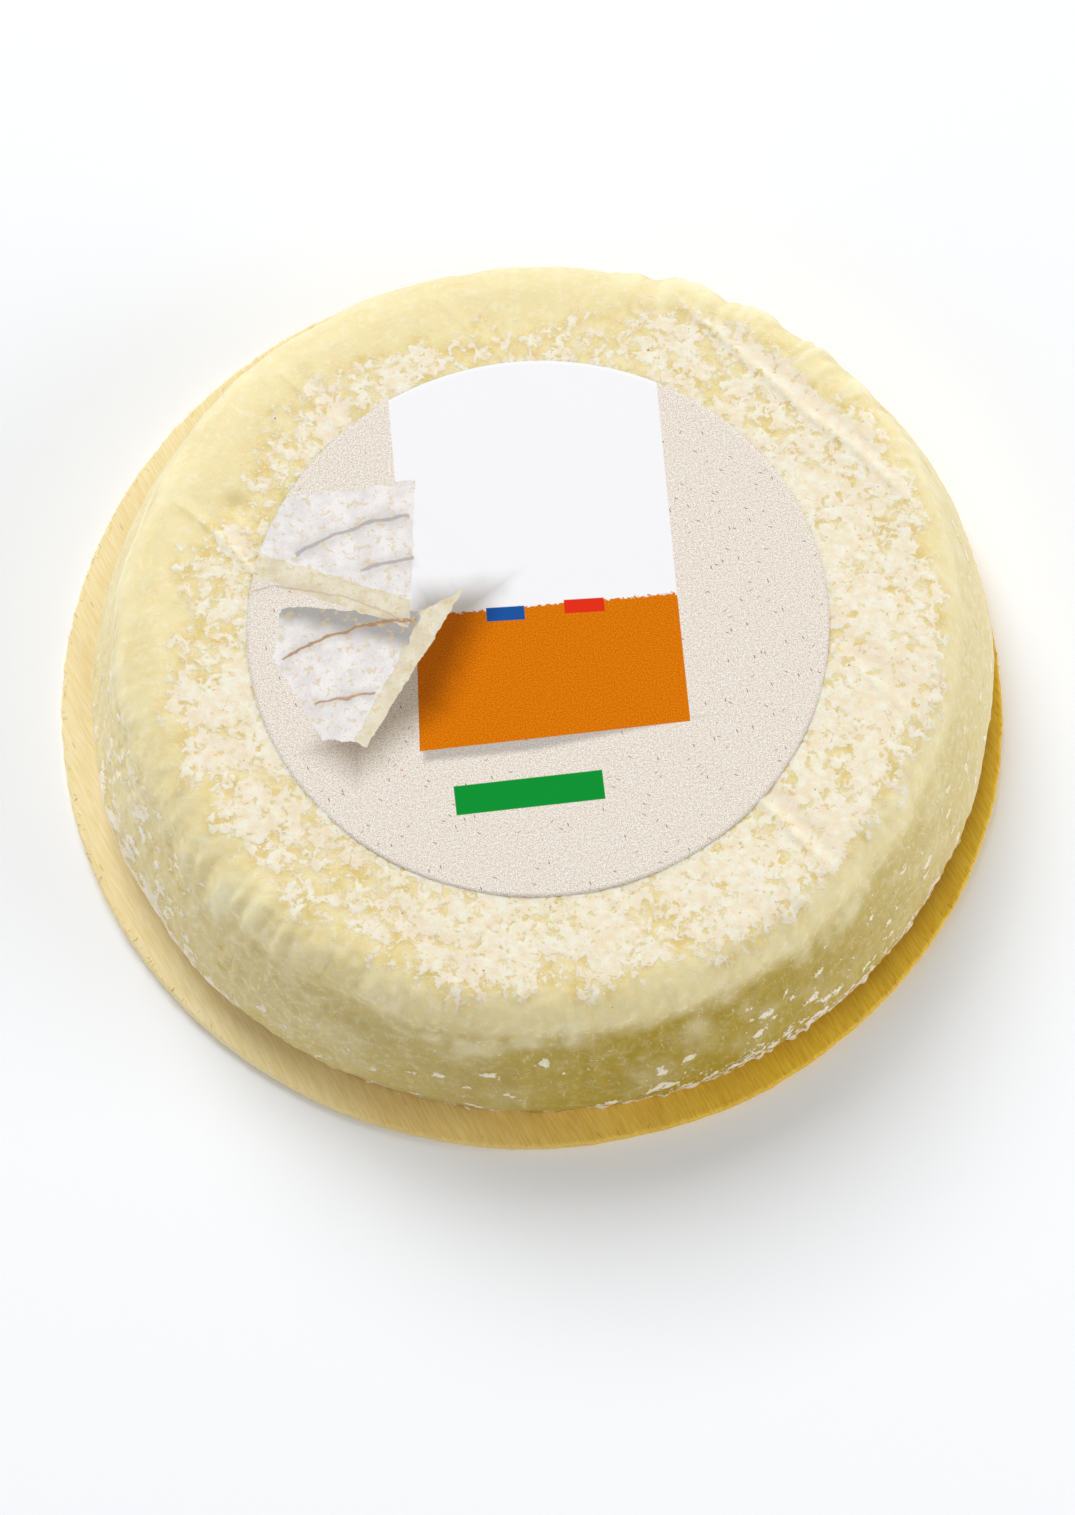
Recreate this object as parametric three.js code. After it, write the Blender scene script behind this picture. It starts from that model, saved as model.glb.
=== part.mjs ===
// A small soft-ripened cheese wheel on a thin round of wood, with a round paper label on its top face.
// Units are millimetres and +Z is up. The origin is the middle of the wooden round's underside.
import * as THREE from "three";

// The wooden round: a disc punched out of thin poplar.
const ROUND_RADIUS = 53;
const ROUND_THICKNESS = 1.5;

// The cheese: widest just above its foot, with a wall that leans in to a soft shoulder and a flat top.
const CHEESE_HEIGHT = 20.2;
const FOOT_RADIUS = 48.9;
const BULGE_RADIUS = 49.8;
const BULGE_HEIGHT = 3.4;
const SHOULDER_RADIUS = 45.4;
const SHOULDER_HEIGHT = 16.2;
const TOP_RADIUS = 40.6;
const CHEESE_CENTRE_X = 1.1;
const CHEESE_CENTRE_Y = 0.1;

// How far each bend of the section pulls on the stretches beside it, outwards and upwards.
const FOOT_PULL_UP = 0.7;
const BULGE_PULL_IN = 0.3;
const BULGE_PULL_UP = 4.2;
const WALL_PULL_OUT = 1.6;
const WALL_PULL_DOWN = 4.2;
const SHOULDER_PULL_IN = 0.8;
const SHOULDER_PULL_UP = 2.1;
const TOP_PULL_OUT = 2.4;

// The shoulder is slumped: further in than its mean radius towards some sides of the wheel.
const SLUMP = [
  { waves: 1, amount: 0.41, towards: THREE.MathUtils.degToRad(108) },
  { waves: 3, amount: 0.4, towards: THREE.MathUtils.degToRad(86) },
];

// The outline is hand made, so it is a little out of round.
const OUT_OF_ROUND = [
  { waves: 2, amount: 0.33, phase: -0.8 },
  { waves: 3, amount: 0.14, phase: -1.15 },
  { waves: 4, amount: 0.12, phase: -2.5 },
];

// The label: a disc of paper stuck to the top face.
const LABEL_RADIUS = 31.3;
const LABEL_THICKNESS = 0.15;
const LABEL_CENTRE_X = 1.1;
const LABEL_CENTRE_Y = -0.6;

const ROUND_SEGMENTS = 96;
const PROFILE_STEPS = 6;

const TOP_OF_ROUND = ROUND_THICKNESS;
const TOP_OF_CHEESE = ROUND_THICKNESS + CHEESE_HEIGHT;

// Half of the cheese's section, from the axis at the foot, out and up to the axis at the top.
function cheeseProfile() {
  const profile = new THREE.Path();
  profile.moveTo(0, 0);
  profile.lineTo(FOOT_RADIUS, 0);
  profile.quadraticCurveTo(BULGE_RADIUS, FOOT_PULL_UP, BULGE_RADIUS, BULGE_HEIGHT);
  profile.bezierCurveTo(
    BULGE_RADIUS - BULGE_PULL_IN,
    BULGE_HEIGHT + BULGE_PULL_UP,
    SHOULDER_RADIUS + WALL_PULL_OUT,
    SHOULDER_HEIGHT - WALL_PULL_DOWN,
    SHOULDER_RADIUS,
    SHOULDER_HEIGHT,
  );
  profile.bezierCurveTo(
    SHOULDER_RADIUS - SHOULDER_PULL_IN,
    SHOULDER_HEIGHT + SHOULDER_PULL_UP,
    TOP_RADIUS + TOP_PULL_OUT,
    CHEESE_HEIGHT,
    TOP_RADIUS,
    CHEESE_HEIGHT,
  );
  profile.lineTo(0, CHEESE_HEIGHT);
  return profile.getPoints(PROFILE_STEPS);
}

// How far the shoulder sits inside its mean radius, looking out along an angle.
function slumpAt(angle) {
  return SLUMP.reduce(
    (sum, wave) => sum + wave.amount * Math.cos(wave.waves * (angle - wave.towards)),
    0,
  );
}

// How far the outline stands outside a true circle, looking out along an angle.
function outlineAt(angle) {
  return OUT_OF_ROUND.reduce(
    (sum, wave) => sum + wave.amount * Math.cos(wave.waves * angle + wave.phase),
    0,
  );
}

// A turned section, pushed out of round and slumped. Every level stays level, so both faces stay flat.
function cheeseGeometry() {
  const geometry = new THREE.LatheGeometry(cheeseProfile(), ROUND_SEGMENTS);
  geometry.rotateX(Math.PI / 2);
  const places = geometry.getAttribute("position");
  for (let i = 0; i < places.count; i++) {
    const x = places.getX(i);
    const y = places.getY(i);
    const z = places.getZ(i);
    const angle = Math.atan2(y, x);
    const share = Math.hypot(x, y) / BULGE_RADIUS;
    const shift = share * (outlineAt(angle) - slumpAt(angle) * (z / CHEESE_HEIGHT));
    places.setXY(i, x + shift * Math.cos(angle), y + shift * Math.sin(angle));
  }
  geometry.deleteAttribute("normal");
  geometry.computeVertexNormals();
  return geometry;
}

// A flat disc whose underside is at z = 0.
function discGeometry(radius, thickness) {
  const geometry = new THREE.CylinderGeometry(radius, radius, thickness, ROUND_SEGMENTS);
  geometry.rotateX(Math.PI / 2);
  geometry.translate(0, 0, thickness / 2);
  return geometry;
}

function piece(name, geometry, material, x, y, z) {
  const mesh = new THREE.Mesh(geometry, material);
  mesh.name = name;
  mesh.position.set(x, y, z);
  return mesh;
}

function woodenRound() {
  const poplar = new THREE.MeshStandardMaterial({ color: 0xdcb968, roughness: 0.7, metalness: 0 });
  return piece("wooden_round", discGeometry(ROUND_RADIUS, ROUND_THICKNESS), poplar, 0, 0, 0);
}

function cheese() {
  const rind = new THREE.MeshStandardMaterial({ color: 0xf0e6b8, roughness: 0.6, metalness: 0 });
  return piece("cheese", cheeseGeometry(), rind, CHEESE_CENTRE_X, CHEESE_CENTRE_Y, TOP_OF_ROUND);
}

function paperLabel() {
  const paper = new THREE.MeshStandardMaterial({ color: 0xe6e0d8, roughness: 0.8, metalness: 0 });
  const disc = discGeometry(LABEL_RADIUS, LABEL_THICKNESS);
  return piece("paper_label", disc, paper, LABEL_CENTRE_X, LABEL_CENTRE_Y, TOP_OF_CHEESE);
}

const wheel = new THREE.Group();
wheel.name = "cheese_wheel";
wheel.add(woodenRound());
wheel.add(cheese());
wheel.add(paperLabel());

export default wheel;
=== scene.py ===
"""The looks of a small soft-ripened cheese wheel on a thin round of poplar, with a paper label on top.

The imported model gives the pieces' places and sizes. Blender units are metres, so a size is a number of
millimetres times MM. Angles round the wheel are in degrees, anticlockwise from +X as seen from above.
"""
import math

import bpy
import numpy as np
from mathutils import Matrix, Vector


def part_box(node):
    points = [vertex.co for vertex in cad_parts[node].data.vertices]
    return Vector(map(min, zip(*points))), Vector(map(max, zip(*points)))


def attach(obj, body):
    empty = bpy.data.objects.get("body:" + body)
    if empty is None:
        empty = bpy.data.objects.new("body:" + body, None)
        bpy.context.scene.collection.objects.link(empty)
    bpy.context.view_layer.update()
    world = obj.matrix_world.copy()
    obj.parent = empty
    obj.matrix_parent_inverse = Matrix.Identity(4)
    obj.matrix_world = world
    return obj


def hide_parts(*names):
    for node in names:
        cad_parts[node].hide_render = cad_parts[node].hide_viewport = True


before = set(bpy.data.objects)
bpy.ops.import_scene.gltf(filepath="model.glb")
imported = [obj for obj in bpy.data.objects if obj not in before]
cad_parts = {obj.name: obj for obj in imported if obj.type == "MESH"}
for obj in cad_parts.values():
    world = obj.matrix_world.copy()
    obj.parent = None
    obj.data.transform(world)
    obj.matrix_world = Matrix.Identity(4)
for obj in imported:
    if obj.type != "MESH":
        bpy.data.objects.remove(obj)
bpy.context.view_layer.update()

MM = 0.001
SAME_PLACE = 0.002 * MM
SEED = 11

# The camera looks down at the wheel and is rolled a little about its own line of sight.
CAMERA_LENS = 100
CAMERA_FILM_HEIGHT = 36
CAMERA_DISTANCE = 458.5 * MM
CAMERA_ELEVATION = 68.44
CAMERA_ROLL = -4.74
CAMERA_AIM = (-0.1 * MM, -11.55 * MM, 10.1 * MM)

# The mat that the cheese drained on left straight ridges across its top face, each beside a shallow trough.
RIDGE_DIRECTION = -49
RIDGE_PITCH = 18.4 * MM
RIDGE_START = 2.0 * MM
RIDGE_WANDER = 0.35 * MM
# Where round the wheel the ridges stand out: the angle, the spread in degrees and the share of full height.
RIDGES_SEEN = [(-38, 14, 0.8), (50, 36, 0.9), (166, 12, 0.7), (117, 10, 0.7)]

CHEESE_LOW, CHEESE_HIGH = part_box("cheese")
LABEL_LOW, LABEL_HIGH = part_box("paper_label")
ROUND_LOW, ROUND_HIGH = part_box("wooden_round")
LABEL_CENTRE = (LABEL_LOW + LABEL_HIGH) / 2
LABEL_RADIUS = (LABEL_HIGH.x - LABEL_LOW.x) / 2
ROUND_RADIUS = (ROUND_HIGH.x - ROUND_LOW.x) / 2


# ---- Number work shared by the pieces ----

chance = np.random.default_rng(SEED)
HASH = chance.permutation(256)
SLOPES = chance.normal(size=(256, 3))
SLOPES /= np.linalg.norm(SLOPES, axis=1, keepdims=True)


def swell(points, size, layer=0):
    """Smooth noise from about -1 to 1, in lumps about size across. Each layer is another pattern."""
    points = points / size + layer * 31.7
    cell = np.floor(points).astype(int)
    part = points - cell
    ease = part**3 * (part * (part * 6 - 15) + 10)
    total = 0
    for corner in np.ndindex(2, 2, 2):
        at = (cell + corner) & 255
        pick = HASH[(HASH[(HASH[at[..., 0]] + at[..., 1]) & 255] + at[..., 2]) & 255]
        slope = ((part - corner) * SLOPES[pick]).sum(-1)
        total = total + slope * np.where(corner, ease, 1 - ease).prod(-1)
    return total * 1.7


def fade(value, start, end):
    """0 at start and before, 1 at end and after, and smooth between. start may be the larger."""
    share = np.clip((value - start) / (end - start), 0, 1)
    return share * share * (3 - 2 * share)


def near(value, centre, width):
    """1 at the centre, falling off smoothly on both sides."""
    return np.exp(-(((value - centre) / width) ** 2))


def towards(angle, centre, spread):
    """1 at one angle round the wheel, falling off smoothly both ways. All are in degrees."""
    apart = (angle - centre + 180) % 360 - 180
    return near(apart, 0, spread)


def smooth_between(knots, values, at):
    """The values at new places along a line that passes through every knot without a corner."""
    slopes = np.gradient(values, knots, axis=0)
    first = np.clip(np.searchsorted(knots, at, side="right") - 1, 0, len(knots) - 2)
    gap = (knots[first + 1] - knots[first])[:, None]
    t = (at - knots[first])[:, None] / gap
    start, end = values[first], values[first + 1]
    lean_out, lean_in = slopes[first] * gap, slopes[first + 1] * gap
    return (
        start * (1 + 2 * t) * (1 - t) ** 2
        + lean_out * t * (1 - t) ** 2
        + end * t * t * (3 - 2 * t)
        + lean_in * t * t * (t - 1)
    )


def grid_normals(grid):
    """The outward normal at each point of rings that climb the outside of a round piece."""
    around = np.roll(grid, -1, axis=1) - np.roll(grid, 1, axis=1)
    along = np.gradient(grid, axis=0)
    normals = np.cross(around, along)
    return normals / np.maximum(np.linalg.norm(normals, axis=-1, keepdims=True), 1e-12)


def closed_mesh(name, grid, low_centre, high_centre):
    """A closed mesh from rings of points, each end closed by triangles to a centre point."""
    rows, count = grid.shape[:2]
    points = np.concatenate([grid.reshape(-1, 3), [low_centre, high_centre]])
    this = np.arange(count)
    after = np.roll(this, -1)
    faces = []
    for row in range(rows - 1):
        low, high = row * count, (row + 1) * count
        faces += np.stack([low + this, low + after, high + after, high + this], 1).tolist()
    last = (rows - 1) * count
    faces += [[rows * count, b, a] for a, b in zip(this, after)]
    faces += [[rows * count + 1, last + a, last + b] for a, b in zip(this, after)]
    mesh = bpy.data.meshes.new(name)
    mesh.from_pydata(points.tolist(), [], faces)
    mesh.polygons.foreach_set("use_smooth", np.ones(len(mesh.polygons), bool))
    return mesh


def keep_on_mesh(mesh, name, values):
    """Stores one number, or one place, for each point of the mesh, for the material to read."""
    values = np.asarray(values, np.float32)
    kind, field = ("FLOAT_VECTOR", "vector") if values.ndim == 2 else ("FLOAT", "value")
    mesh.attributes.new(name, kind, "POINT").data.foreach_set(field, values.ravel())


def add_object(name, mesh):
    piece = bpy.data.objects.new(name, mesh)
    bpy.context.scene.collection.objects.link(piece)
    return piece


# ---- Node work shared by the materials ----


def tone(red, green, blue):
    """A colour from its screen values of 0 to 255."""
    parts = [value / 255 for value in (red, green, blue)]
    return tuple(p / 12.92 if p <= 0.04045 else ((p + 0.055) / 1.055) ** 2.4 for p in parts) + (1.0,)


class Nodes:
    """Adds nodes to one tree. A socket given as a value is linked, and a number is set."""

    def __init__(self, tree):
        self.tree = tree

    def put(self, value, socket):
        if isinstance(value, bpy.types.NodeSocket):
            self.tree.links.new(value, socket)
        else:
            socket.default_value = value

    def add(self, kind, inputs=(), **settings):
        node = self.tree.nodes.new(kind)
        for name, value in settings.items():
            setattr(node, name, value)
        for name, value in dict(inputs).items():
            self.put(value, node.inputs[name])
        return node

    def math(self, operation, *values, clamp=False):
        node = self.add("ShaderNodeMath", operation=operation, use_clamp=clamp)
        for socket, value in zip(node.inputs, values):
            self.put(value, socket)
        return node.outputs[0]

    def vector(self, operation, *values, output="Vector"):
        node = self.add("ShaderNodeVectorMath", operation=operation)
        for socket, value in zip(node.inputs, values):
            self.put(value, socket)
        return node.outputs[output]

    def dot(self, a, b):
        return self.vector("DOT_PRODUCT", a, b, output="Value")

    def turn(self, place, angle=0, stretch=(1, 1, 1)):
        """The place turned about Z by an angle in degrees, then stretched."""
        turned = self.add("ShaderNodeVectorRotate", {"Vector": place, "Angle": math.radians(angle)})
        return self.vector("MULTIPLY", turned.outputs[0], stretch)

    def ramp(self, value, start, end, low=0.0, high=1.0):
        node = self.add("ShaderNodeMapRange", interpolation_type="SMOOTHSTEP")
        for name, given in zip(
            ("Value", "From Min", "From Max", "To Min", "To Max"), (value, start, end, low, high)
        ):
            self.put(given, node.inputs[name])
        return node.outputs[0]

    def noise(self, place, size, detail=2.0, roughness=0.5, distortion=0.0):
        """Noise from 0 to 1 in lumps about size across."""
        inputs = {"Vector": place, "Scale": 1 / size, "Detail": detail}
        inputs.update({"Roughness": roughness, "Distortion": distortion})
        return self.add("ShaderNodeTexNoise", inputs).outputs[0]

    def cells(self, place, size, **settings):
        return self.add("ShaderNodeTexVoronoi", {"Vector": place, "Scale": 1 / size}, **settings)

    def blend(self, share, a, b, kind="MIX"):
        node = self.add("ShaderNodeMix", data_type="RGBA", blend_type=kind)
        self.put(share, node.inputs[0])
        self.put(a, node.inputs[6])
        self.put(b, node.inputs[7])
        return node.outputs[2]

    def read(self, name):
        """What keep_on_mesh stored under a name, as a vector or a number."""
        return self.add("ShaderNodeAttribute", attribute_name=name)


def new_group(name, inputs, outputs):
    """A shader node group, with its nodes, its input sockets and a function that sets its outputs."""
    tree = bpy.data.node_groups.new(name, "ShaderNodeTree")
    for label, kind in inputs.items():
        tree.interface.new_socket(label, in_out="INPUT", socket_type=kind)
    for label in outputs:
        tree.interface.new_socket(label, in_out="OUTPUT", socket_type="NodeSocketFloat")
    n = Nodes(tree)
    given = n.add("NodeGroupInput").outputs
    result = n.add("NodeGroupOutput")
    return tree, n, given, result


def specks_group(name, dimensions):
    """Scattered round specks. Spacing and size are in the units of place. Share is how many there are."""
    kinds = {"Place": "NodeSocketVector", "Spacing": "NodeSocketFloat", "Size": "NodeSocketFloat"}
    kinds["Share"] = "NodeSocketFloat"
    tree, n, given, result = new_group(name, kinds, ["Mask"])
    scale = n.math("DIVIDE", 1.0, given["Spacing"])
    cells = n.add("ShaderNodeTexVoronoi", voronoi_dimensions=dimensions)
    n.put(given["Place"], cells.inputs["Vector"])
    n.put(scale, cells.inputs["Scale"])
    reach = n.math("MULTIPLY", n.math("DIVIDE", given["Size"], given["Spacing"]), 0.5)
    spot = n.ramp(cells.outputs["Distance"], reach, n.math("MULTIPLY", reach, 0.6))
    there = n.math("LESS_THAN", n.dot(cells.outputs["Color"], (1.0, 0.0, 0.0)), given["Share"])
    n.put(n.math("MULTIPLY", spot, there), result.inputs["Mask"])
    return tree


SPECKS = specks_group("specks", "3D")
FLAT_SPECKS = specks_group("flat_specks", "2D")


def specks(n, place, spacing, size, share, group=SPECKS):
    node = n.add("ShaderNodeGroup", node_tree=group)
    for name, value in {"Place": place, "Spacing": spacing, "Size": size, "Share": share}.items():
        n.put(value, node.inputs[name])
    return node.outputs["Mask"]


def new_material(name):
    """A material with an empty Principled surface: its nodes and that surface's inputs."""
    material = bpy.data.materials.new(name)
    material.use_nodes = True
    surface = material.node_tree.nodes["Principled BSDF"]
    return material, Nodes(material.node_tree), surface.inputs


def bump(n, height, distance, strength=1.0):
    inputs = {"Height": height, "Distance": distance, "Strength": strength}
    return n.add("ShaderNodeBump", inputs).outputs[0]


# ---- The cheese ----

POINTS_ROUND = 820
ROW_GAP = 0.33 * MM
# The top face has fine rows in to just under the label, and then two coarse ones, as shares of its radius.
SEEN_TOP_RADIUS = 29.5 * MM
HIDDEN_TOP_ROWS = [0.6, 0.3]
UNDERSIDE_ROWS = [0.2, 0.6, 0.9, 0.98]
ANGLES = np.linspace(-math.pi, math.pi, POINTS_ROUND, endpoint=False)
DEGREES = np.degrees(ANGLES)
CLEAR_OF_AXIS = 5 * MM
# The top face's relief begins between these two radii, so that it doesn't poke through the label.
UNDER_LABEL = (LABEL_RADIUS - 1.6 * MM, LABEL_RADIUS + 0.4 * MM)

IVORY, DEEP_IVORY = tone(243, 229, 179), tone(229, 205, 127)
# The ripe wall's yellows, which are partly painted shade on the front wall.
RIPE_SHADED_YELLOW, DEEP_SHADED_YELLOW = tone(186, 160, 38), tone(170, 142, 22)
# A painted highlight for raised skin, painted shade for sunken skin, and a pale bloom.
PAINTED_HIGHLIGHT_SKIN, PAINTED_SHADE_SKIN, PALE_BLOOM = tone(250, 242, 204), tone(226, 204, 126), tone(252, 245, 219)
CREAM_FELT, WHITE_FELT, TROUGH_FELT = tone(247, 231, 202), tone(254, 246, 230), tone(243, 227, 202)
PALE_HAIRS, BROWN_SPOTS = tone(246, 238, 212), tone(150, 110, 52)

# The folds' pattern goes round a circle of this radius, and changes only this share as fast down the wall.
FOLD_RADIUS = 46 * MM
FOLD_STRETCH = 0.16
FOLDS_EVERYWHERE = 0.05 * MM
# Folds over the shoulder: the angle of each group, its spread in degrees and how deep it is.
FOLDS = [(50, 26, 1.05 * MM), (-146, 12, 0.34 * MM), (-118, 20, 0.12 * MM), (-40, 30, 0.08 * MM)]

# A finger's dimple in the top face.
DIMPLE_X, DIMPLE_Y = -30.7 * MM, 16.3 * MM
DIMPLE_RADIUS = 1.5 * MM
DIMPLE_DEPTH = 0.75 * MM
# Dents in the shoulder: the angle, the spread in degrees, how far below the top face's edge, and how deep.
DENTS = [(-118, 4, 9.0 * MM, 0.5 * MM), (-45, 6, 5.5 * MM, 0.4 * MM), (158, 5, 7.5 * MM, 0.5 * MM)]
DENT_HEIGHT = 3.4 * MM

# Mould on the top face: how it thins out at some angles, with the spread in degrees and by how much.
MOULD_ON_TOP = 0.70
THIN_MOULD = [(80, 30, 0.28), (150, 11, 0.26), (-130, 16, 0.18), (180, 12, 0.10)]
# How far in from the top face's edge the mould starts: the angle, the spread in degrees, and millimetres.
MOULD_START = -0.4
MOULD_STARTS = [(98, 26, 5.5), (132, 16, 4.0), (172, 18, 3.0), (153, 9, 4.5), (-25, 45, -2.4)]
# Mould low on the wall: the angle, the spread in degrees, how thick, and the heights in mm where it ends
# and where it is thickest.
WALL_MOULD = [
    (-148, 18, 0.75, 7.5, 2.0),
    (-62, 22, 0.52, 8.0, 1.0),
    (-105, 26, 0.20, 3.0, 0.2),
    (-15, 26, 0.24, 8.0, 1.0),
    (185, 16, 0.40, 7.0, 1.0),
    (95, 50, 0.46, 7.0, 0.5),
    (-75, 50, 0.30, 1.3, 0.1),
]
MOULD_AT_FOOT = 0.10
# Each patch of flecks on the wall: its angle, the spread in degrees, how many, and how high up in mm.
FLECK_PATCHES = [(-38, 28, 120, 13), (196, 9, 320, 16), (-100, 30, 24, 9), (95, 42, 150, 12)]
WALL_MM_PER_DEGREE = 0.87


def cad_rings(node):
    """The node's axis, the heights of its rings of points from the foot up, and their radii at ANGLES."""
    points = np.array([vertex.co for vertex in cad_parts[node].data.vertices])
    low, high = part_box(node)
    middle = np.array((low + high) / 2)[:2]
    top = points[points[:, 2] > high.z - SAME_PLACE, :2]
    axis = top[np.argmin(np.hypot(*(top - middle).T))]
    out = points[:, :2] - axis
    radius, angle = np.hypot(*out.T), np.arctan2(out[:, 1], out[:, 0])
    heights = np.unique(points[:, 2].round(6))
    radii = []
    for height in heights:
        ring = (abs(points[:, 2] - height) < SAME_PLACE) & (radius > CLEAR_OF_AXIS)
        radii.append(np.interp(ANGLES, angle[ring], radius[ring], period=math.tau))
    return axis, heights, np.array(radii)


def cheese_rows():
    """The undisturbed surface as rings of points, each ring's way along the section, and the axis."""
    axis, heights, radii = cad_rings("cheese")
    mean = radii.mean(1)
    way = np.concatenate([[0], np.cumsum(np.hypot(np.diff(mean), np.diff(heights)))])
    at = np.linspace(0, way[-1], int(way[-1] / ROW_GAP))
    wall_radii = smooth_between(way, radii, at)
    wall_heights = smooth_between(way, heights[:, None], at)[:, 0]
    under = np.array(UNDERSIDE_ROWS)
    inwards = np.arange(mean[-1] - ROW_GAP, SEEN_TOP_RADIUS, -ROW_GAP) / mean[-1]
    inwards = np.concatenate([inwards, HIDDEN_TOP_ROWS])
    radii = np.concatenate([under[:, None] * radii[0], wall_radii, inwards[:, None] * radii[-1]])
    level_foot, level_top = np.full(len(under), heights[0]), np.full(len(inwards), heights[-1])
    heights = np.concatenate([level_foot, wall_heights, level_top])
    ways = np.concatenate([-(1 - under) * mean[0], at, way[-1] + (1 - inwards) * mean[-1]])
    levels = np.broadcast_to(heights[:, None], radii.shape)
    rows = np.stack([axis[0] + radii * np.cos(ANGLES), axis[1] + radii * np.sin(ANGLES), levels], -1)
    return rows, ways[:, None] + 0 * radii, way[-1], axis


def ridge_distance(place):
    """How far a place is across the nearest mat ridge, in metres, positive towards the trough."""
    turn = math.radians(RIDGE_DIRECTION + 90)
    across = place[..., 0] * math.cos(turn) + place[..., 1] * math.sin(turn) - RIDGE_START
    across = across + swell(place, 7 * MM, 3) * RIDGE_WANDER
    return across - np.round(across / RIDGE_PITCH) * RIDGE_PITCH


def ridges_seen():
    """How clearly the mat's ridges show at each angle round the wheel."""
    return sum(share * towards(DEGREES, at, spread) for at, spread, share in RIDGES_SEEN)


def fold_places(place, way):
    """Places for patterns that run down the wall: stretched along the section, round one circle."""
    circle = np.stack([np.cos(ANGLES), np.sin(ANGLES)], -1) * FOLD_RADIUS
    down = way[..., None] * FOLD_STRETCH
    return np.concatenate([np.broadcast_to(circle, place.shape[:2] + (2,)), down], -1)


def pressed_folds(folds_at):
    """Folds that run down over the shoulder, deepest at the back right."""
    depth = FOLDS_EVERYWHERE + sum(deep * towards(DEGREES, at, spread) for at, spread, deep in FOLDS)
    return depth * (0.35 - np.abs(swell(folds_at, 3.0 * MM, 5)) + 0.3 * swell(folds_at, 1.3 * MM, 6))


def mat_ridges(place, across):
    """The mat's ridges, each with a trough beside it."""
    strength = (0.22 + ridges_seen()) * (1 + 0.35 * swell(place, 5 * MM, 7))
    ridge = 0.36 * MM * near(across, 0, 0.45 * MM)
    trough = 0.26 * MM * near(across, 1.6 * MM, 1.0 * MM)
    return strength * (ridge - trough)


def wall_pleats(place, folds_at):
    """Fine pleats that run down the front and the left of the wall."""
    strength = 0.3 + towards(DEGREES, -118, 45) + 0.6 * towards(DEGREES, -45, 30)
    pleats = np.abs(swell(folds_at, 1.7 * MM, 31)) - 0.3 + 0.6 * swell(place, 1.1 * MM, 32)
    return 0.22 * MM * pleats * strength


def shoulder_rolls(way, top_way):
    """The front shoulder rolls out over the wall, and the left one has a raised rim with a groove in it."""
    roll = 0.45 * MM * near(way, top_way - 5.2 * MM, 3.0 * MM) * towards(DEGREES, -88, 52)
    rim = 0.40 * MM * near(way, top_way - 6.5 * MM, 2.2 * MM)
    groove = 0.20 * MM * near(way, top_way - 2.0 * MM, 1.8 * MM)
    return roll + (rim - groove) * towards(DEGREES, 172, 26)


def left_lip(place, way, top_way, folds_at):
    """How strong the raised lip is, where the left shoulder turns down into the wall. The rind paints it
    paler as a painted highlight.
    """
    bend = top_way - 9.5 * MM + swell(folds_at, 9 * MM, 33) * 0.8 * MM
    uneven = 0.75 + 0.5 * swell(place, 3.5 * MM, 34)
    return near(way, bend, 0.8 * MM) * towards(DEGREES, 164, 30) * uneven


def left_crease(height, folds_at):
    """A crease low on the left wall, over a ledge at the foot."""
    wander = swell(folds_at, 11 * MM, 8) * 0.9 * MM
    ledge = 0.45 * MM * near(height, 2.6 * MM + wander, 1.5 * MM)
    crease = 0.50 * MM * near(height, 4.9 * MM + wander, 0.8 * MM)
    return (ledge - crease) * towards(DEGREES, 176, 26)


def cheese_relief(place, way, top_way, on_top, across):
    """How far each point of the cheese is pushed out, in metres, and how raised it is, from 0 to 1, which
    sets a painted highlight on raised skin and painted shade in hollows.
    """
    height = place[..., 2] - CHEESE_LOW.z
    on_wall = fade(way, 0.3 * MM, 3 * MM) * (1 - on_top)
    shoulder = near(way, top_way - 6.0 * MM, 5.5 * MM)
    bare = fade(np.hypot(place[..., 0] - LABEL_CENTRE.x, place[..., 1] - LABEL_CENTRE.y), *UNDER_LABEL)
    folds_at = fold_places(place, way)

    lumps = swell(place, 5.0 * MM, 2) * 0.24 * MM + swell(place, 2.4 * MM, 11) * 0.11 * MM
    raised = lumps * (0.35 * on_wall + shoulder * (0.35 + 0.6 * towards(DEGREES, -135, 40)))
    raised = raised + pressed_folds(folds_at) * shoulder
    # lift is painted light: raised skin is painted paler as a painted highlight, sunken skin deeper as
    # painted shade.
    lift = np.clip(0.5 + raised / (0.5 * MM), 0, 1)

    relief = raised + swell(place, 14 * MM, 1) * 0.35 * MM * on_wall
    relief = relief + (swell(place, 9 * MM, 4) * 0.13 * MM + lumps * 0.3) * on_top * bare
    relief = relief + mat_ridges(place, across) * on_top * bare
    relief = relief + wall_pleats(place, folds_at) * on_wall
    relief = relief + shoulder_rolls(way, top_way) + left_crease(height, folds_at)

    lip = left_lip(place, way, top_way, folds_at)
    relief = relief + 0.34 * MM * lip
    # The lip's painted highlight.
    lift = np.clip(lift + 0.6 * lip, 0, 1)

    dimple = near(np.hypot(place[..., 0] - DIMPLE_X, place[..., 1] - DIMPLE_Y), 0, DIMPLE_RADIUS)
    relief = relief - DIMPLE_DEPTH * dimple * on_top
    # Painted shade in the dimple.
    lift = np.clip(lift - 0.7 * dimple, 0, 1)
    for angle, spread, below, deep in DENTS:
        relief = relief - deep * towards(DEGREES, angle, spread) * near(way, top_way - below, DENT_HEIGHT)
    return relief, lift


def foot_frill(place):
    """How far the soft edge spreads outwards where the cheese meets the wood, in metres."""
    height = place[..., 2] - CHEESE_LOW.z
    spread = 0.40 + 0.60 * towards(DEGREES, -60, 62)
    teeth = 0.15 + 1.1 * np.abs(swell(place, 2.0 * MM, 9)) + 0.7 * swell(place, 0.9 * MM, 10)
    return spread * teeth * 0.66 * MM * near(height, 0.25 * MM, 0.45 * MM)


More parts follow.
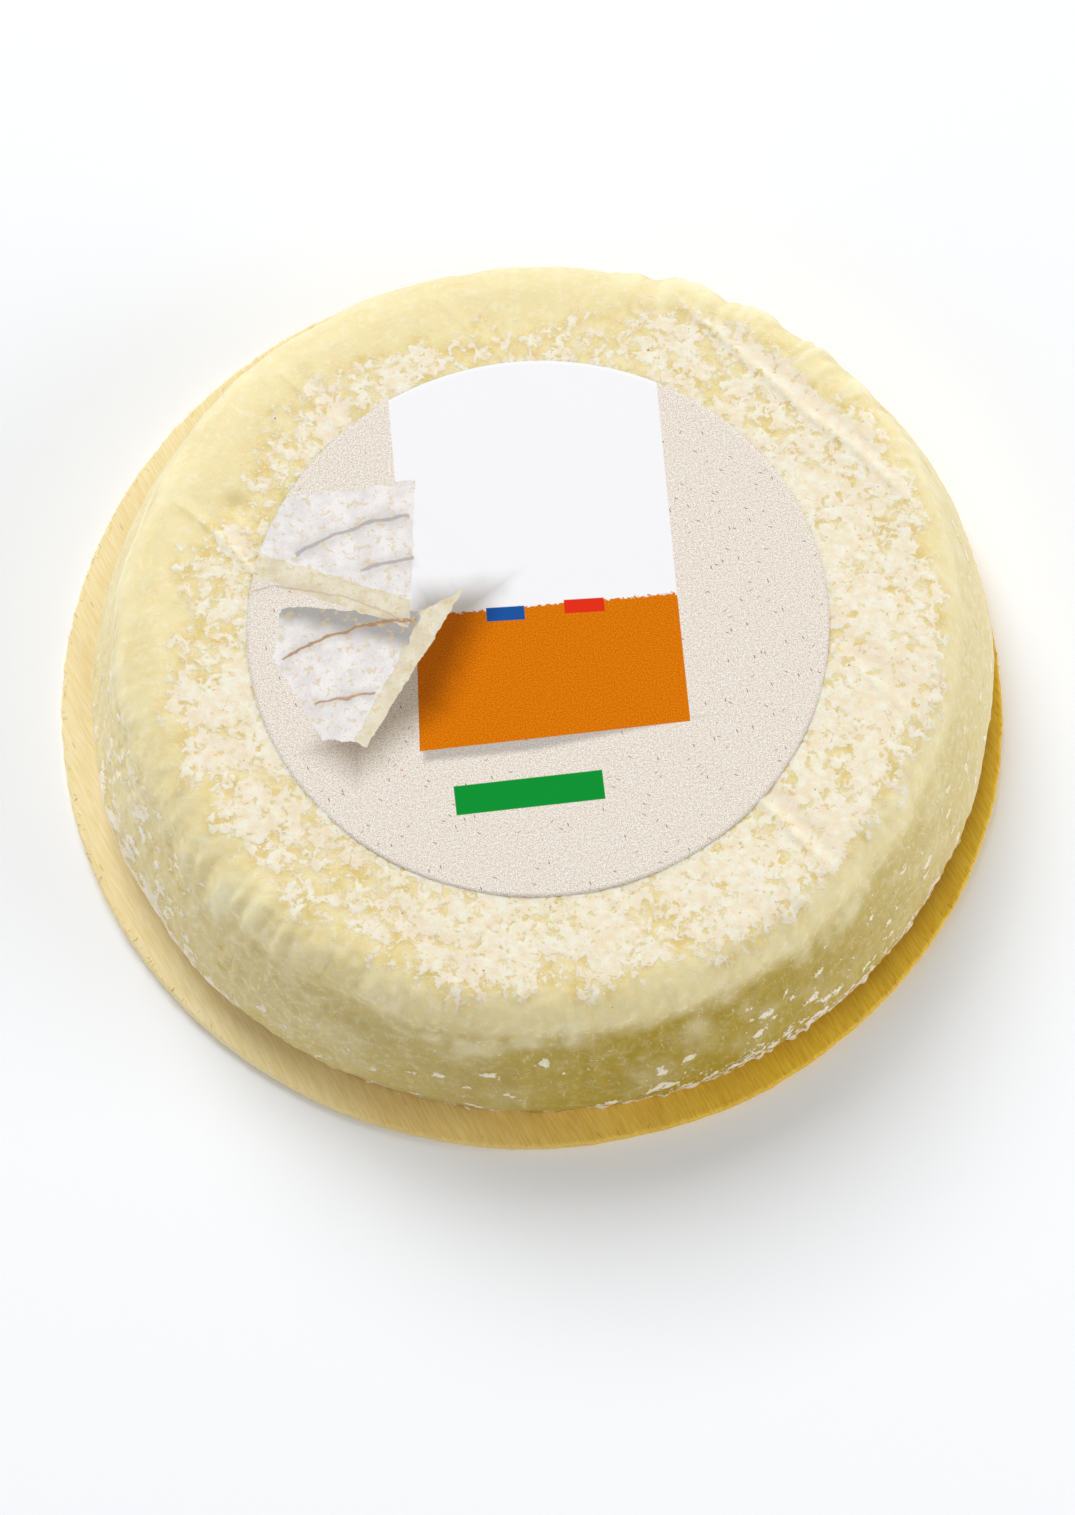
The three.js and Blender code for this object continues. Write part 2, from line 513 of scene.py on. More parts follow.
def felt_cover(place, way, top_way, across):
    """How much of the skin the white mould covers, from 0 for bare to 1 for solid felt."""
    height = (place[..., 2] - CHEESE_LOW.z) / MM
    inwards = (way - top_way) / MM
    thin = sum(by * towards(DEGREES, at, spread) for at, spread, by in THIN_MOULD)
    patchy = swell(place, 6 * MM, 12) * 0.22 + swell(place, 2.4 * MM, 13) * 0.15
    start = MOULD_START + sum(by * towards(DEGREES, at, spread) for at, spread, by in MOULD_STARTS)
    start = start + swell(place, 5 * MM, 14) * 2.2
    top = (MOULD_ON_TOP - thin + patchy) * fade(inwards, start - 3.8, start + 2.2)

    # It is thicker on the mat's ridges and in their troughs.
    crest = 0.40 * near(across, 0.1 * MM, 0.6 * MM) * (0.7 + swell(place, 4 * MM, 17))
    lane = 0.28 * near(across, 1.3 * MM, 1.1 * MM)
    top = top + (crest + lane) * fade(inwards, -3, 1) * ridges_seen()

    thick = MOULD_AT_FOOT * fade(height, 1.3, 0.1)
    for angle, spread, most, ends, thickest in WALL_MOULD:
        thick = thick + most * towards(DEGREES, angle, spread) * fade(height, ends, thickest)
    wall = thick + 0.02 + swell(place, 3.2 * MM, 15) * 0.26 + wall_flecks(height)
    return np.clip(np.maximum(top, wall * fade(inwards, -3, -6)), 0, 1)


def wall_flecks(height):
    """White flecks drawn out along the wall, as extra mould cover."""
    picks = np.random.default_rng(SEED + 2)
    cover = np.zeros_like(height)
    for centre, spread, count, highest in FLECK_PATCHES:
        for _ in range(count):
            angle, level = picks.normal(centre, spread), picks.uniform(0.5, highest)
            long, lean = picks.uniform(0.35, 1.15), picks.normal(0.12, 0.25)
            along = ((DEGREES - angle + 180) % 360 - 180) * WALL_MM_PER_DEGREE
            up = height - level - lean * along
            fleck = np.exp(-((along / long) ** 2) - (up / (long * 0.45)) ** 2)
            cover = np.maximum(cover, fleck * picks.uniform(0.5, 0.85))
    return cover


def felt_pattern(n, place, cover):
    """The mould's lace from 0 to 1, sharp and then soft. Works in a material and in geometry nodes."""
    broad = n.noise(place, 1.25 * MM, detail=6.0, roughness=0.64, distortion=0.5)
    lobes = n.cells(place, 0.6 * MM, feature="SMOOTH_F1").outputs["Distance"]
    pits = n.noise(place, 0.45 * MM, detail=2.0, roughness=0.5)
    level = n.math("MULTIPLY_ADD", n.math("SUBTRACT", broad, 0.5), 1.35, 0.5)
    level = n.math("MULTIPLY_ADD", n.math("SUBTRACT", 0.45, lobes), 0.16, level)
    level = n.math("ADD", level, n.ramp(pits, 0.30, 0.45, -0.15, 0.0))
    level = n.math("MULTIPLY_ADD", n.math("SUBTRACT", cover, 0.5), 0.56, level)
    return n.ramp(level, 0.465, 0.525), n.ramp(level, 0.40, 0.60)


def felt_relief():
    """Geometry nodes that raise the mould's lace above the skin, where the rind's colour has it too."""
    tree = bpy.data.node_groups.new("felt_relief", "GeometryNodeTree")
    for direction in ("INPUT", "OUTPUT"):
        tree.interface.new_socket("Geometry", in_out=direction, socket_type="NodeSocketGeometry")
    n = Nodes(tree)
    given = n.add("NodeGroupInput").outputs["Geometry"]
    named = "GeometryNodeInputNamedAttribute"
    place = n.add(named, {"Name": "rest_place"}, data_type="FLOAT_VECTOR").outputs[0]
    cover = n.add(named, {"Name": "felt_cover"}, data_type="FLOAT").outputs[0]
    _, veil = felt_pattern(n, place, cover)
    grain = n.noise(place, 0.8 * MM, detail=2.0)
    height = n.math("MULTIPLY", veil, n.math("MULTIPLY_ADD", grain, 0.08 * MM, 0.03 * MM))
    push = n.add("ShaderNodeVectorMath", operation="SCALE")
    n.put(n.add("GeometryNodeInputNormal").outputs[0], push.inputs[0])
    n.put(height, push.inputs["Scale"])
    move = n.add("GeometryNodeSetPosition", {"Geometry": given, "Offset": push.outputs[0]})
    n.put(move.outputs[0], n.add("NodeGroupOutput").inputs["Geometry"])
    return tree


def apply_modifiers(piece):
    shapes = bpy.context.evaluated_depsgraph_get()
    made = bpy.data.meshes.new_from_object(
        piece.evaluated_get(shapes), preserve_all_data_layers=True, depsgraph=shapes
    )
    piece.modifiers.clear()
    piece.data = made


def skin_colour(n, place, cover):
    """Bare ivory skin with pools of deeper ivory in the mould, a ripe yellow wall deepened at the front as
    painted shade, raised skin paler as a painted highlight and sunken skin deeper as painted shade, and a
    fine pale bloom.
    """
    ripe_and_shade = n.read("ripeness_and_shade").outputs["Fac"]
    lift = n.read("lift").outputs["Fac"]
    pools = n.ramp(n.noise(place, 2.4 * MM, detail=4.0, roughness=0.6), 0.35, 0.68)
    pools = n.math("MULTIPLY", pools, n.ramp(cover, 0.05, 0.5, 0.2, 1.0))
    skin = n.blend(pools, IVORY, DEEP_IVORY)
    # The ripe wall's deeper yellow is partly painted shade, deepest on the front wall.
    skin = n.blend(ripe_and_shade, skin, n.blend(n.noise(place, 9 * MM, detail=2.0), RIPE_SHADED_YELLOW, DEEP_SHADED_YELLOW))
    # Painted highlight on raised skin and painted shade on sunken skin, from lift.
    skin = n.blend(n.ramp(lift, 0.45, 0.95, 0.0, 0.6), skin, PAINTED_HIGHLIGHT_SKIN)
    skin = n.blend(n.ramp(lift, 0.45, 0.0, 0.0, 0.30), skin, PAINTED_SHADE_SKIN)
    bloom = n.ramp(n.noise(place, 0.85 * MM, detail=5.0, roughness=0.72), 0.50, 0.62)
    bloom = n.math("MULTIPLY", bloom, n.ramp(ripe_and_shade, 0.2, 0.9, 0.34, 0.14))
    bloom = n.math("MULTIPLY", bloom, n.ramp(cover, 0.1, 0.5, 1.0, 0.25))
    return n.blend(bloom, skin, PALE_BLOOM)


def felt_colour(n, place):
    """The mould's own white, a little darker in the mat's troughs."""
    cloud = n.ramp(n.noise(place, 1.1 * MM, detail=5.0, roughness=0.7), 0.35, 0.65)
    trough = n.math("MULTIPLY", n.read("trough").outputs["Fac"], 0.4)
    return n.blend(trough, n.blend(cloud, CREAM_FELT, WHITE_FELT), TROUGH_FELT)


def rind_material():
    """Ivory skin with white mould felt over it, soft enough for light to sink in."""
    material, n, surface = new_material("bloomy_rind")
    place = n.read("rest_place").outputs["Vector"]
    cover = n.read("felt_cover").outputs["Fac"]
    felt, veil = felt_pattern(n, place, cover)
    grains = specks(n, place, 0.62 * MM, 0.40 * MM, n.ramp(cover, 0.05, 0.55, 0.0, 0.8))
    felt = n.math("MAXIMUM", felt, n.math("MULTIPLY", grains, 0.7))
    share = n.math("ADD", n.math("MULTIPLY", felt, 0.80), n.math("MULTIPLY", veil, 0.16))
    colour = n.blend(share, skin_colour(n, place, cover), felt_colour(n, place))

    # Fine pale hairs run up the ripe wall, and small brown spots are scattered everywhere.
    upright = n.turn(place, 0, (1.0, 1.0, 0.22))
    hairs = n.ramp(n.noise(upright, 0.55 * MM, detail=3.0, roughness=0.7), 0.60, 0.70)
    ripe_and_shade = n.read("ripeness_and_shade").outputs["Fac"]
    colour = n.blend(n.math("MULTIPLY", hairs, n.math("MULTIPLY", ripe_and_shade, 0.28)), colour, PALE_HAIRS)
    brown = specks(n, place, 2.6 * MM, 0.30 * MM, 0.12)
    colour = n.blend(n.math("MULTIPLY", brown, 0.75), colour, BROWN_SPOTS)

    n.put(colour, surface["Base Color"])
    n.put(n.ramp(felt, 0.0, 1.0, 0.46, 0.85), surface["Roughness"])
    surface["Specular IOR Level"].default_value = 0.28
    surface["Subsurface Weight"].default_value = 0.5
    surface["Subsurface Radius"].default_value = (1.0, 0.8, 0.4)
    surface["Subsurface Scale"].default_value = 1.0 * MM

    fuzz = n.noise(place, 0.28 * MM, detail=4.0, roughness=0.7)
    pores = n.noise(place, 0.55 * MM, detail=3.0, roughness=0.6)
    fine = n.math("MULTIPLY", fuzz, n.ramp(felt, 0.0, 1.0, 0.25, 0.7))
    height = n.math("ADD", fine, n.math("MULTIPLY", pores, 0.7))
    height = n.math("ADD", height, n.math("MULTIPLY", felt, 0.25))
    n.put(bump(n, height, 0.13 * MM, 0.7), surface["Normal"])
    return material


def make_cheese():
    rows, way, top_way, axis = cheese_rows()
    on_top = fade(way, top_way - 3 * MM, top_way + 1 * MM)
    across = ridge_distance(rows)
    relief, lift = cheese_relief(rows, way, top_way, on_top, across)
    cover = felt_cover(rows, way, top_way, across)
    pushed = rows + grid_normals(rows) * (relief * fade(way, 0, 1.2 * MM))[..., None]
    outwards = np.stack([np.cos(ANGLES), np.sin(ANGLES), 0 * ANGLES], -1)
    pushed = pushed + outwards * (foot_frill(rows) * fade(way, -1 * MM, 0))[..., None]
    pushed[..., 2] = np.maximum(pushed[..., 2], CHEESE_LOW.z)

    low_centre = [axis[0], axis[1], CHEESE_LOW.z]
    high_centre = [axis[0], axis[1], CHEESE_HIGH.z]
    mesh = closed_mesh("ripened_cheese", pushed, low_centre, high_centre)

    # The front of the wall is the ripest and deepest in colour: partly the rind's own ochre, partly painted
    # shade where the wall faces away from the lamps.
    ripe_and_shade_round = 0.16 + 0.84 * towards(DEGREES, -76, 46)
    ripe_and_shade = ripe_and_shade_round * fade(way, top_way - 4.5 * MM, top_way - 9 * MM)
    trough = near(across, 1.9 * MM, 1.4 * MM) * on_top
    ends = np.zeros(2)
    keep_on_mesh(mesh, "rest_place", np.concatenate([rows.reshape(-1, 3), [low_centre, high_centre]]))
    for name, values in {"felt_cover": cover, "ripeness_and_shade": ripe_and_shade, "trough": trough, "lift": lift}.items():
        keep_on_mesh(mesh, name, np.concatenate([values.ravel(), ends]))

    cheese = add_object("ripened_cheese", mesh)
    lace = cheese.modifiers.new("felt_relief", "NODES")
    lace.node_group = felt_relief()
    apply_modifiers(cheese)
    cheese.data.materials.clear()
    cheese.data.materials.append(rind_material())
    return cheese


# ---- The wooden round ----

GRAIN_DIRECTION = -65
ROUND_EDGE_POINTS = 1300
SPLINTERS = 620
# The round's section at its drawn thickness, in millimetres: how far inside the outline, and how high up.
ROUND_SECTION_THICKNESS = 1.5
ROUND_SECTION = [(48, 0), (12, 0), (0.6, 0), (0.12, 0.04), (0.0, 0.3), (-0.03, 0.8), (0.0, 1.25)]
ROUND_SECTION += [(0.07, 1.40), (0.22, 1.49), (0.5, 1.5), (1.2, 1.5), (3, 1.5), (10, 1.5), (46, 1.5)]
# Painted shadow darkens the wood round the cheese's foot, from the first of these radii in to the second.
CONTACT_SHADE_OUTER, CONTACT_SHADE_INNER = 52.6 * MM, 49.6 * MM

PALE_WOOD, PALE_FIBRE = tone(244, 224, 164), tone(252, 238, 194)
# The golden colours are painted shade, for the lower right where the cheese's shadow falls.
GOLDEN_SHADED_WOOD, GOLDEN_SHADED_FIBRE = tone(230, 182, 36), tone(249, 208, 70)
WOOD_BAND, WOOD_PORE, WOOD_HAIR = tone(214, 166, 62), tone(176, 128, 44), tone(252, 232, 160)
# The colour of the painted shadow round the cheese's foot.
CONTACT_SHADE_WOOD = tone(160, 116, 12)


def wood_material():
    """Thin raw poplar with fine streaks along the grain, pale at the left and a deeper golden towards the
    lower right, which is painted shade where the cheese's shadow falls.
    """
    material, n, surface = new_material("raw_poplar")
    place = n.add("ShaderNodeTexCoord").outputs["Object"]
    along = n.turn(place, -GRAIN_DIRECTION, (0.09, 1.0, 1.0))
    fibres = n.noise(along, 0.24 * MM, detail=4.0, roughness=0.6)
    fibre = n.ramp(fibres, 0.3, 0.7)
    # Painted shade: the wood turns a deeper golden towards the lower right, where the cheese's shadow
    # falls.
    shade_side = n.ramp(n.dot(place, (1.0, -0.30, 0.0)), -34 * MM, 38 * MM)
    pale = n.blend(fibre, PALE_WOOD, PALE_FIBRE)
    golden_shaded = n.blend(fibre, GOLDEN_SHADED_WOOD, GOLDEN_SHADED_FIBRE)
    colour = n.blend(shade_side, pale, golden_shaded)

    bands = n.noise(n.turn(place, -GRAIN_DIRECTION, (0.10, 1.0, 1.0)), 5 * MM, detail=3.0)
    colour = n.blend(n.ramp(bands, 0.45, 0.75, 0.0, 0.25), colour, WOOD_BAND)
    pores_at = n.turn(place, -GRAIN_DIRECTION, (0.16, 1.0, 1.0))
    pores = specks(n, pores_at, 1.1 * MM, 0.2 * MM, 0.22, FLAT_SPECKS)
    colour = n.blend(n.math("MULTIPLY", pores, 0.35), colour, WOOD_PORE)
    hairs_at = n.turn(place, -GRAIN_DIRECTION + 12, (0.12, 1.0, 1.0))
    hairs = specks(n, hairs_at, 0.9 * MM, 0.12 * MM, 0.25, FLAT_SPECKS)
    colour = n.blend(n.math("MULTIPLY", hairs, 0.45), colour, WOOD_HAIR)

    # Painted shadow: the wood darkens round the cheese's foot, most at the right.
    reach = n.vector("LENGTH", n.vector("MULTIPLY", place, (1.0, 1.0, 0.0)), output="Value")
    rightwards = n.ramp(n.dot(place, (1.0, -0.1, 0.0)), 8 * MM, 42 * MM, 0.15, 1.0)
    contact_shade = n.math("MULTIPLY", n.ramp(reach, CONTACT_SHADE_OUTER, CONTACT_SHADE_INNER), rightwards)
    colour = n.blend(n.math("MULTIPLY", contact_shade, 0.7), colour, CONTACT_SHADE_WOOD)

    n.put(colour, surface["Base Color"])
    n.put(n.ramp(fibres, 0.3, 0.7, 0.72, 0.58), surface["Roughness"])
    surface["Specular IOR Level"].default_value = 0.35
    n.put(bump(n, fibres, 0.06 * MM, 0.6), surface["Normal"])
    return material


def round_outline(angles):
    """The punched outline's radius: a circle with slight flats and torn fibres."""
    circle = np.stack([np.cos(angles), np.sin(angles), 0 * angles], -1) * ROUND_RADIUS
    flats = swell(circle, 13 * MM, 20) * 0.20 * MM
    torn = swell(circle, 1.4 * MM, 21) * 0.07 * MM
    degrees = np.degrees(angles)
    # The veneer is cut a little flat at the right.
    trimmed = 0.9 * MM * towards(degrees, 6, 20)
    return ROUND_RADIUS - 0.12 * MM + flats * towards(degrees, -50, 70) + torn - trimmed


SPLINTER_FACES = ((0, 1, 2), (0, 3, 1), (1, 3, 2), (2, 3, 0))


def splinters(count):
    """Slivers of fibre that lie along the grain on the round's upper edge: points and triangles."""
    picks = np.random.default_rng(SEED + 1)
    points, faces = [], []
    grain = math.radians(GRAIN_DIRECTION)
    for angle in picks.uniform(-math.pi, math.pi, count):
        radius = float(round_outline(np.array([angle]))[0]) - picks.uniform(0.0, 0.45) * MM
        across = abs(math.sin(angle - grain))
        turn = grain + picks.normal(0, 0.22) if across < 0.95 else angle + picks.normal(0, 0.5)
        if math.cos(turn - angle) < 0:
            turn += math.pi
        length, width = picks.uniform(0.3, 1.0) * MM, picks.uniform(0.05, 0.11) * MM
        start = np.array([radius * math.cos(angle), radius * math.sin(angle), ROUND_HIGH.z - 0.03 * MM])
        forward = np.array([math.cos(turn), math.sin(turn), picks.uniform(-0.25, 0.22)])
        side = np.array([-math.sin(turn), math.cos(turn), 0])
        start = start - forward * length * 0.55
        first = len(points)
        points += [start - side * width, start + side * width, start + np.array([0, 0, width])]
        points.append(start + forward * length)
        faces += [[first + corner for corner in face] for face in SPLINTER_FACES]
    return points, faces


def round_rows(angles):
    """The round's surface as rings of points, its edge roughened by fibres that run along the grain."""
    outline = round_outline(angles)
    thick = ROUND_HIGH.z - ROUND_LOW.z
    rings = []
    for inside, height in ROUND_SECTION:
        circle = outline - inside * MM
        level = np.full(len(angles), ROUND_LOW.z + height / ROUND_SECTION_THICKNESS * thick)
        rings.append(np.stack([circle * np.cos(angles), circle * np.sin(angles), level], -1))
    rows = np.array(rings)
    grain = math.radians(GRAIN_DIRECTION)
    across = rows[..., 0] * -math.sin(grain) + rows[..., 1] * math.cos(grain)
    along = rows[..., 0] * math.cos(grain) + rows[..., 1] * math.sin(grain)
    fibres = swell(np.stack([across, along * 0.12, rows[..., 2] * 0.5], -1), 0.55 * MM, 22)
    on_edge = near(rows[..., 2], ROUND_LOW.z + 1.30 * MM, 0.22 * MM)
    rows[..., :2] *= (1 + fibres * on_edge * 0.09 * MM / ROUND_RADIUS)[..., None]
    return rows


def make_round():
    angles = np.linspace(-math.pi, math.pi, ROUND_EDGE_POINTS, endpoint=False)
    disc = closed_mesh("disc", round_rows(angles), [0, 0, ROUND_LOW.z], [0, 0, ROUND_HIGH.z])
    fray_points, fray_faces = splinters(SPLINTERS)
    points = [list(vertex.co) for vertex in disc.vertices]
    faces = [list(polygon.vertices) for polygon in disc.polygons]
    faces += [[index + len(points) for index in face] for face in fray_faces]
    points += [list(point) for point in fray_points]
    mesh = bpy.data.meshes.new("poplar_round")
    mesh.from_pydata(points, [], faces)
    bpy.data.meshes.remove(disc)
    mesh.materials.append(wood_material())
    return add_object("poplar_round", mesh)


# ---- The paper label ----

LABEL_EDGE_POINTS = 360
LABEL_RINGS = [0.12, 0.3, 0.5, 0.65, 0.78, 0.88, 0.95, 0.985, 1.0]
# The upper edge is cut a hair further in than the lower one.
LABEL_EDGE_LEAN = 0.03 * MM
# The label stands this far off the cheese: everywhere, over a mat ridge, and where it isn't pressed flat.
GLUE_GAP, RIDGE_GAP, LOOSE_GAP = 0.03 * MM, 0.04 * MM, 0.02 * MM

# The print, in millimetres from the label's centre. Each outline goes anticlockwise.
WHITE_PANEL = [(-14.0, 1.4), (15.2, 1.4), (15.2, 40.0), (-14.4, 40.0)]
ORANGE_PANEL = [(-13.6, -13.8), (15.3, -12.9), (15.2, 1.2), (-13.0, 1.0)]
ORANGE_EDGE = [(-13.0, -1.0), (15.2, -1.0), (15.2, 2.0), (-13.0, 1.8)]
ORANGE_SHADOW = [(-13.2, -15.0), (-1.0, -14.7), (14.6, -12.6), (-13.2, -12.6)]
BLUE_BLOCK = [(-5.4, 0.5), (-1.3, 0.4), (-1.3, 2.0), (-5.4, 2.1)]
RED_BLOCK = [(3.0, 0.7), (7.3, 0.6), (7.3, 2.2), (3.0, 2.3)]
GREEN_BAR = [(-10.2, -21.4), (5.6, -20.9), (5.5, -17.6), (-10.3, -18.1)]
UPPER_TOP = [(-31.0, 11.4), (-13.4, 3.8), (-12.0, 17.9), (-28.2, 17.0)]
UPPER_CUT = [(-31.2, 8.4), (-13.8, 0.6), (-13.4, 3.8), (-31.0, 11.4)]
LOWER_TOP = [(-23.8, -11.6), (-20.4, -12.0), (-12.2, 2.2), (-27.4, 4.2), (-28.7, -1.6)]
LOWER_CUT = [(-19.2, -12.8), (-7.4, 4.9), (-12.2, 2.2), (-20.4, -12.0)]
UPPER_SHADOW = [(-28, 3.0), (-12, -2.4), (-12, 2.6), (-28, 8.6)]
LOWER_SHADOW = [(-20.4, -15.4), (-11.0, -9.0), (-4.4, 4.4), (-12.0, 4.4), (-24.0, -12.6)]

PAPER_DARK, PAPER_LIGHT, PAPER_WARM = tone(215, 202, 188), tone(253, 247, 238), tone(234, 208, 168)
PAPER_SPECKS = tone(158, 122, 88)
# Fibres in the paper: the angle that each kind lies at, in degrees, and its colour.
PAPER_FIBRES = [(28, tone(128, 96, 62)), (-40, tone(186, 134, 76)), (75, tone(96, 78, 62))]
PANEL_WHITE, PANEL_WHITEST = tone(244, 243, 246), tone(251, 251, 252)
ORANGE_INK, ORANGE_INK_LIGHT = tone(206, 100, 0), tone(230, 134, 4)
BLUE_INK, RED_INK, GREEN_INK = tone(28, 84, 160), tone(228, 48, 24), tone(12, 148, 52)
SHADOW_INK, SOFT_SHADOW, DEEP_SHADOW = tone(132, 126, 122), tone(176, 168, 158), tone(150, 146, 142)
RIND_GREY, RIND_WHITE, RIND_OCHRE = tone(236, 231, 228), tone(250, 247, 245), tone(226, 200, 142)
CUT_DARK, CUT_LIGHT = tone(226, 214, 184), tone(243, 236, 214)
HOLLOW_INK, DOT_INK = tone(182, 174, 168), tone(150, 140, 140)
BROWN_INK, GREY_INK = tone(178, 126, 66), tone(160, 152, 154)
# Creases in the printed rind: where each starts and ends, its width, its ink and how strong it is.
CREASES = [
    ((-27.6, -1.2), (-13.0, 1.6), 0.34, BROWN_INK, 0.8),
    ((-24.4, -7.6), (-18.0, -7.4), 0.30, BROWN_INK, 0.7),
    ((-25.6, 10.2), (-12.8, 14.0), 0.42, GREY_INK, 0.6),
    ((-18.6, 7.0), (-12.8, 9.0), 0.42, GREY_INK, 0.6),
    ((-30.4, 8.5), (-13.7, 0.9), 0.22, BROWN_INK, 0.3),
]
# The creases bow up most at this place across the label, by this much, and curve away by the last number.
CREASE_TOP, CREASE_RISE, CREASE_CURVE = -19.5, 0.7, 0.022


def inside(n, place, outline, blur=0.05):
    """1 inside a convex outline and 0 outside it, with an edge as soft as blur."""
    depth = None
    for (x0, y0), (x1, y1) in zip(outline, outline[1:] + outline[:1]):
        length = math.hypot(x1 - x0, y1 - y0)
        inwards = ((y0 - y1) / length, (x1 - x0) / length, 0.0)
        off = n.math("SUBTRACT", n.dot(place, inwards), inwards[0] * x0 + inwards[1] * y0)
        depth = off if depth is None else n.math("MINIMUM", depth, off)
    return n.ramp(depth, -blur, blur)


def line(n, place, start, end, width, blur=0.08):
    """1 along a straight line of some width."""
    (x0, y0), (x1, y1) = start, end
    length = math.hypot(x1 - x0, y1 - y0)
    sx, sy = (y0 - y1) / length * width / 2, (x1 - x0) / length * width / 2
    corners = [(x0 - sx, y0 - sy), (x1 - sx, y1 - sy), (x1 + sx, y1 + sy), (x0 + sx, y0 + sy)]
    return inside(n, place, corners, blur)


def draw_creases(n, bent, colour):
    """The creases of the printed rind, each a thin dark line in a soft hollow, bowed up in the middle."""
    bow = n.math("POWER", n.math("ADD", n.dot(bent, (1.0, 0.0, 0.0)), -CREASE_TOP), 2.0)
    drop = n.math("MULTIPLY_ADD", bow, CREASE_CURVE, -CREASE_RISE)
    raised = n.add("ShaderNodeCombineXYZ", {"Y": drop}).outputs[0]
    bowed = n.vector("ADD", bent, raised)
    for start, end, width, ink, strength in CREASES:
        hollow = n.math("MULTIPLY", line(n, bowed, start, end, width * 4, blur=0.7), strength * 0.45)
        colour = n.blend(hollow, colour, HOLLOW_INK)
        mark = n.math("MULTIPLY", line(n, bowed, start, end, width), strength)
        colour = n.blend(mark, colour, ink)
    return colour


def wedge_picture(n, place, colour):
    """Two wedges of white-rinded cheese, one on the other, printed at the label's left."""
    wobble = n.add("ShaderNodeTexNoise", {"Vector": place, "Scale": 0.55, "Detail": 3.0}).outputs["Color"]
    wobble = n.vector("SUBTRACT", wobble, (0.5, 0.5, 0.5))
    bent = n.vector("MULTIPLY_ADD", wobble, (1.1, 1.1, 0.0), place)
    shade = n.blend(inside(n, bent, LOWER_SHADOW, 2.6), (1, 1, 1, 1), SOFT_SHADOW)
    colour = n.blend(1.0, colour, shade, "MULTIPLY")
    soft = n.noise(place, 2.4, detail=4.0, roughness=0.6)
    rind = n.blend(n.ramp(soft, 0.35, 0.65), RIND_GREY, RIND_WHITE)
    cream = n.blend(n.ramp(soft, 0.3, 0.7), CUT_DARK, CUT_LIGHT)
    faces = [inside(n, bent, outline) for outline in (UPPER_TOP, LOWER_TOP, UPPER_CUT, LOWER_CUT)]
    upper_top, lower_top, upper_cut, lower_cut = faces
    colour = n.blend(lower_top, colour, rind)
    colour = n.blend(lower_cut, colour, cream)
    under = n.math("MULTIPLY", inside(n, bent, UPPER_SHADOW, 1.2), 0.8)
    colour = n.blend(n.math("MULTIPLY", under, lower_top), colour, DEEP_SHADOW)
    colour = n.blend(upper_top, colour, rind)
    colour = n.blend(upper_cut, colour, cream)
    colour = draw_creases(n, bent, colour)

    # Ochre marks in the rind, and the print's dots.
    ochre = n.math("MULTIPLY", n.ramp(n.noise(place, 0.9, detail=4.0, roughness=0.7), 0.53, 0.62), 0.55)
    shape = 0.0
    for face in faces:
        colour = n.blend(n.math("MULTIPLY", ochre, face), colour, RIND_OCHRE)
        shape = n.math("MAXIMUM", shape, face)
    dots = n.ramp(n.noise(place, 0.11, detail=1.0), 0.42, 0.62)
    return n.blend(n.math("MULTIPLY", n.math("MULTIPLY", dots, shape), 0.18), colour, DOT_INK)


def paper_colour(n, place, grain):
    """Unbleached paper: a fine grain with warm patches, dark specks and short fibres."""
    cloud = n.noise(place, 0.33, detail=3.0, roughness=0.7)
    mixed = n.math("MULTIPLY_ADD", grain, 0.7, n.math("MULTIPLY", cloud, 0.3))
    paper = n.blend(n.ramp(mixed, 0.38, 0.62), PAPER_DARK, PAPER_LIGHT)
    warm = n.ramp(n.noise(place, 0.40, detail=2.0), 0.55, 0.70)
    paper = n.blend(n.math("MULTIPLY", warm, 0.4), paper, PAPER_WARM)
    dark = specks(n, place, 0.75, 0.17, 0.45, FLAT_SPECKS)
    paper = n.blend(n.math("MULTIPLY", dark, 0.42), paper, PAPER_SPECKS)
    for angle, ink in PAPER_FIBRES:
        fibres = specks(n, n.turn(place, angle, (0.24, 1.0, 1.0)), 0.9, 0.14, 0.16, FLAT_SPECKS)
        paper = n.blend(n.math("MULTIPLY", fibres, 0.75), paper, ink)
    return paper


def draw_panels(n, place, colour, grain):
    """The white panel, the orange one with its ragged upper edge and its shadow, and the small blocks."""
    colour = n.blend(inside(n, place, WHITE_PANEL), colour, n.blend(grain, PANEL_WHITE, PANEL_WHITEST))
    under = n.math("MULTIPLY", inside(n, place, ORANGE_SHADOW, 0.45), 0.5)
    colour = n.blend(under, colour, SHADOW_INK)
    orange = n.blend(n.ramp(grain, 0.36, 0.64), ORANGE_INK, ORANGE_INK_LIGHT)
    ragged = n.math("SUBTRACT", n.noise(place, 0.5, detail=5.0, roughness=0.75), 0.5)
    raised = n.add("ShaderNodeCombineXYZ", {"Y": n.math("MULTIPLY", ragged, 1.6)}).outputs[0]
    torn = n.vector("ADD", place, raised)
    for outline, at in ((ORANGE_PANEL, place), (ORANGE_EDGE, torn)):
        colour = n.blend(inside(n, at, outline), colour, orange)
    for outline, ink in ((BLUE_BLOCK, BLUE_INK), (RED_BLOCK, RED_INK), (GREEN_BAR, GREEN_INK)):
        colour = n.blend(inside(n, place, outline), colour, ink)
    return colour


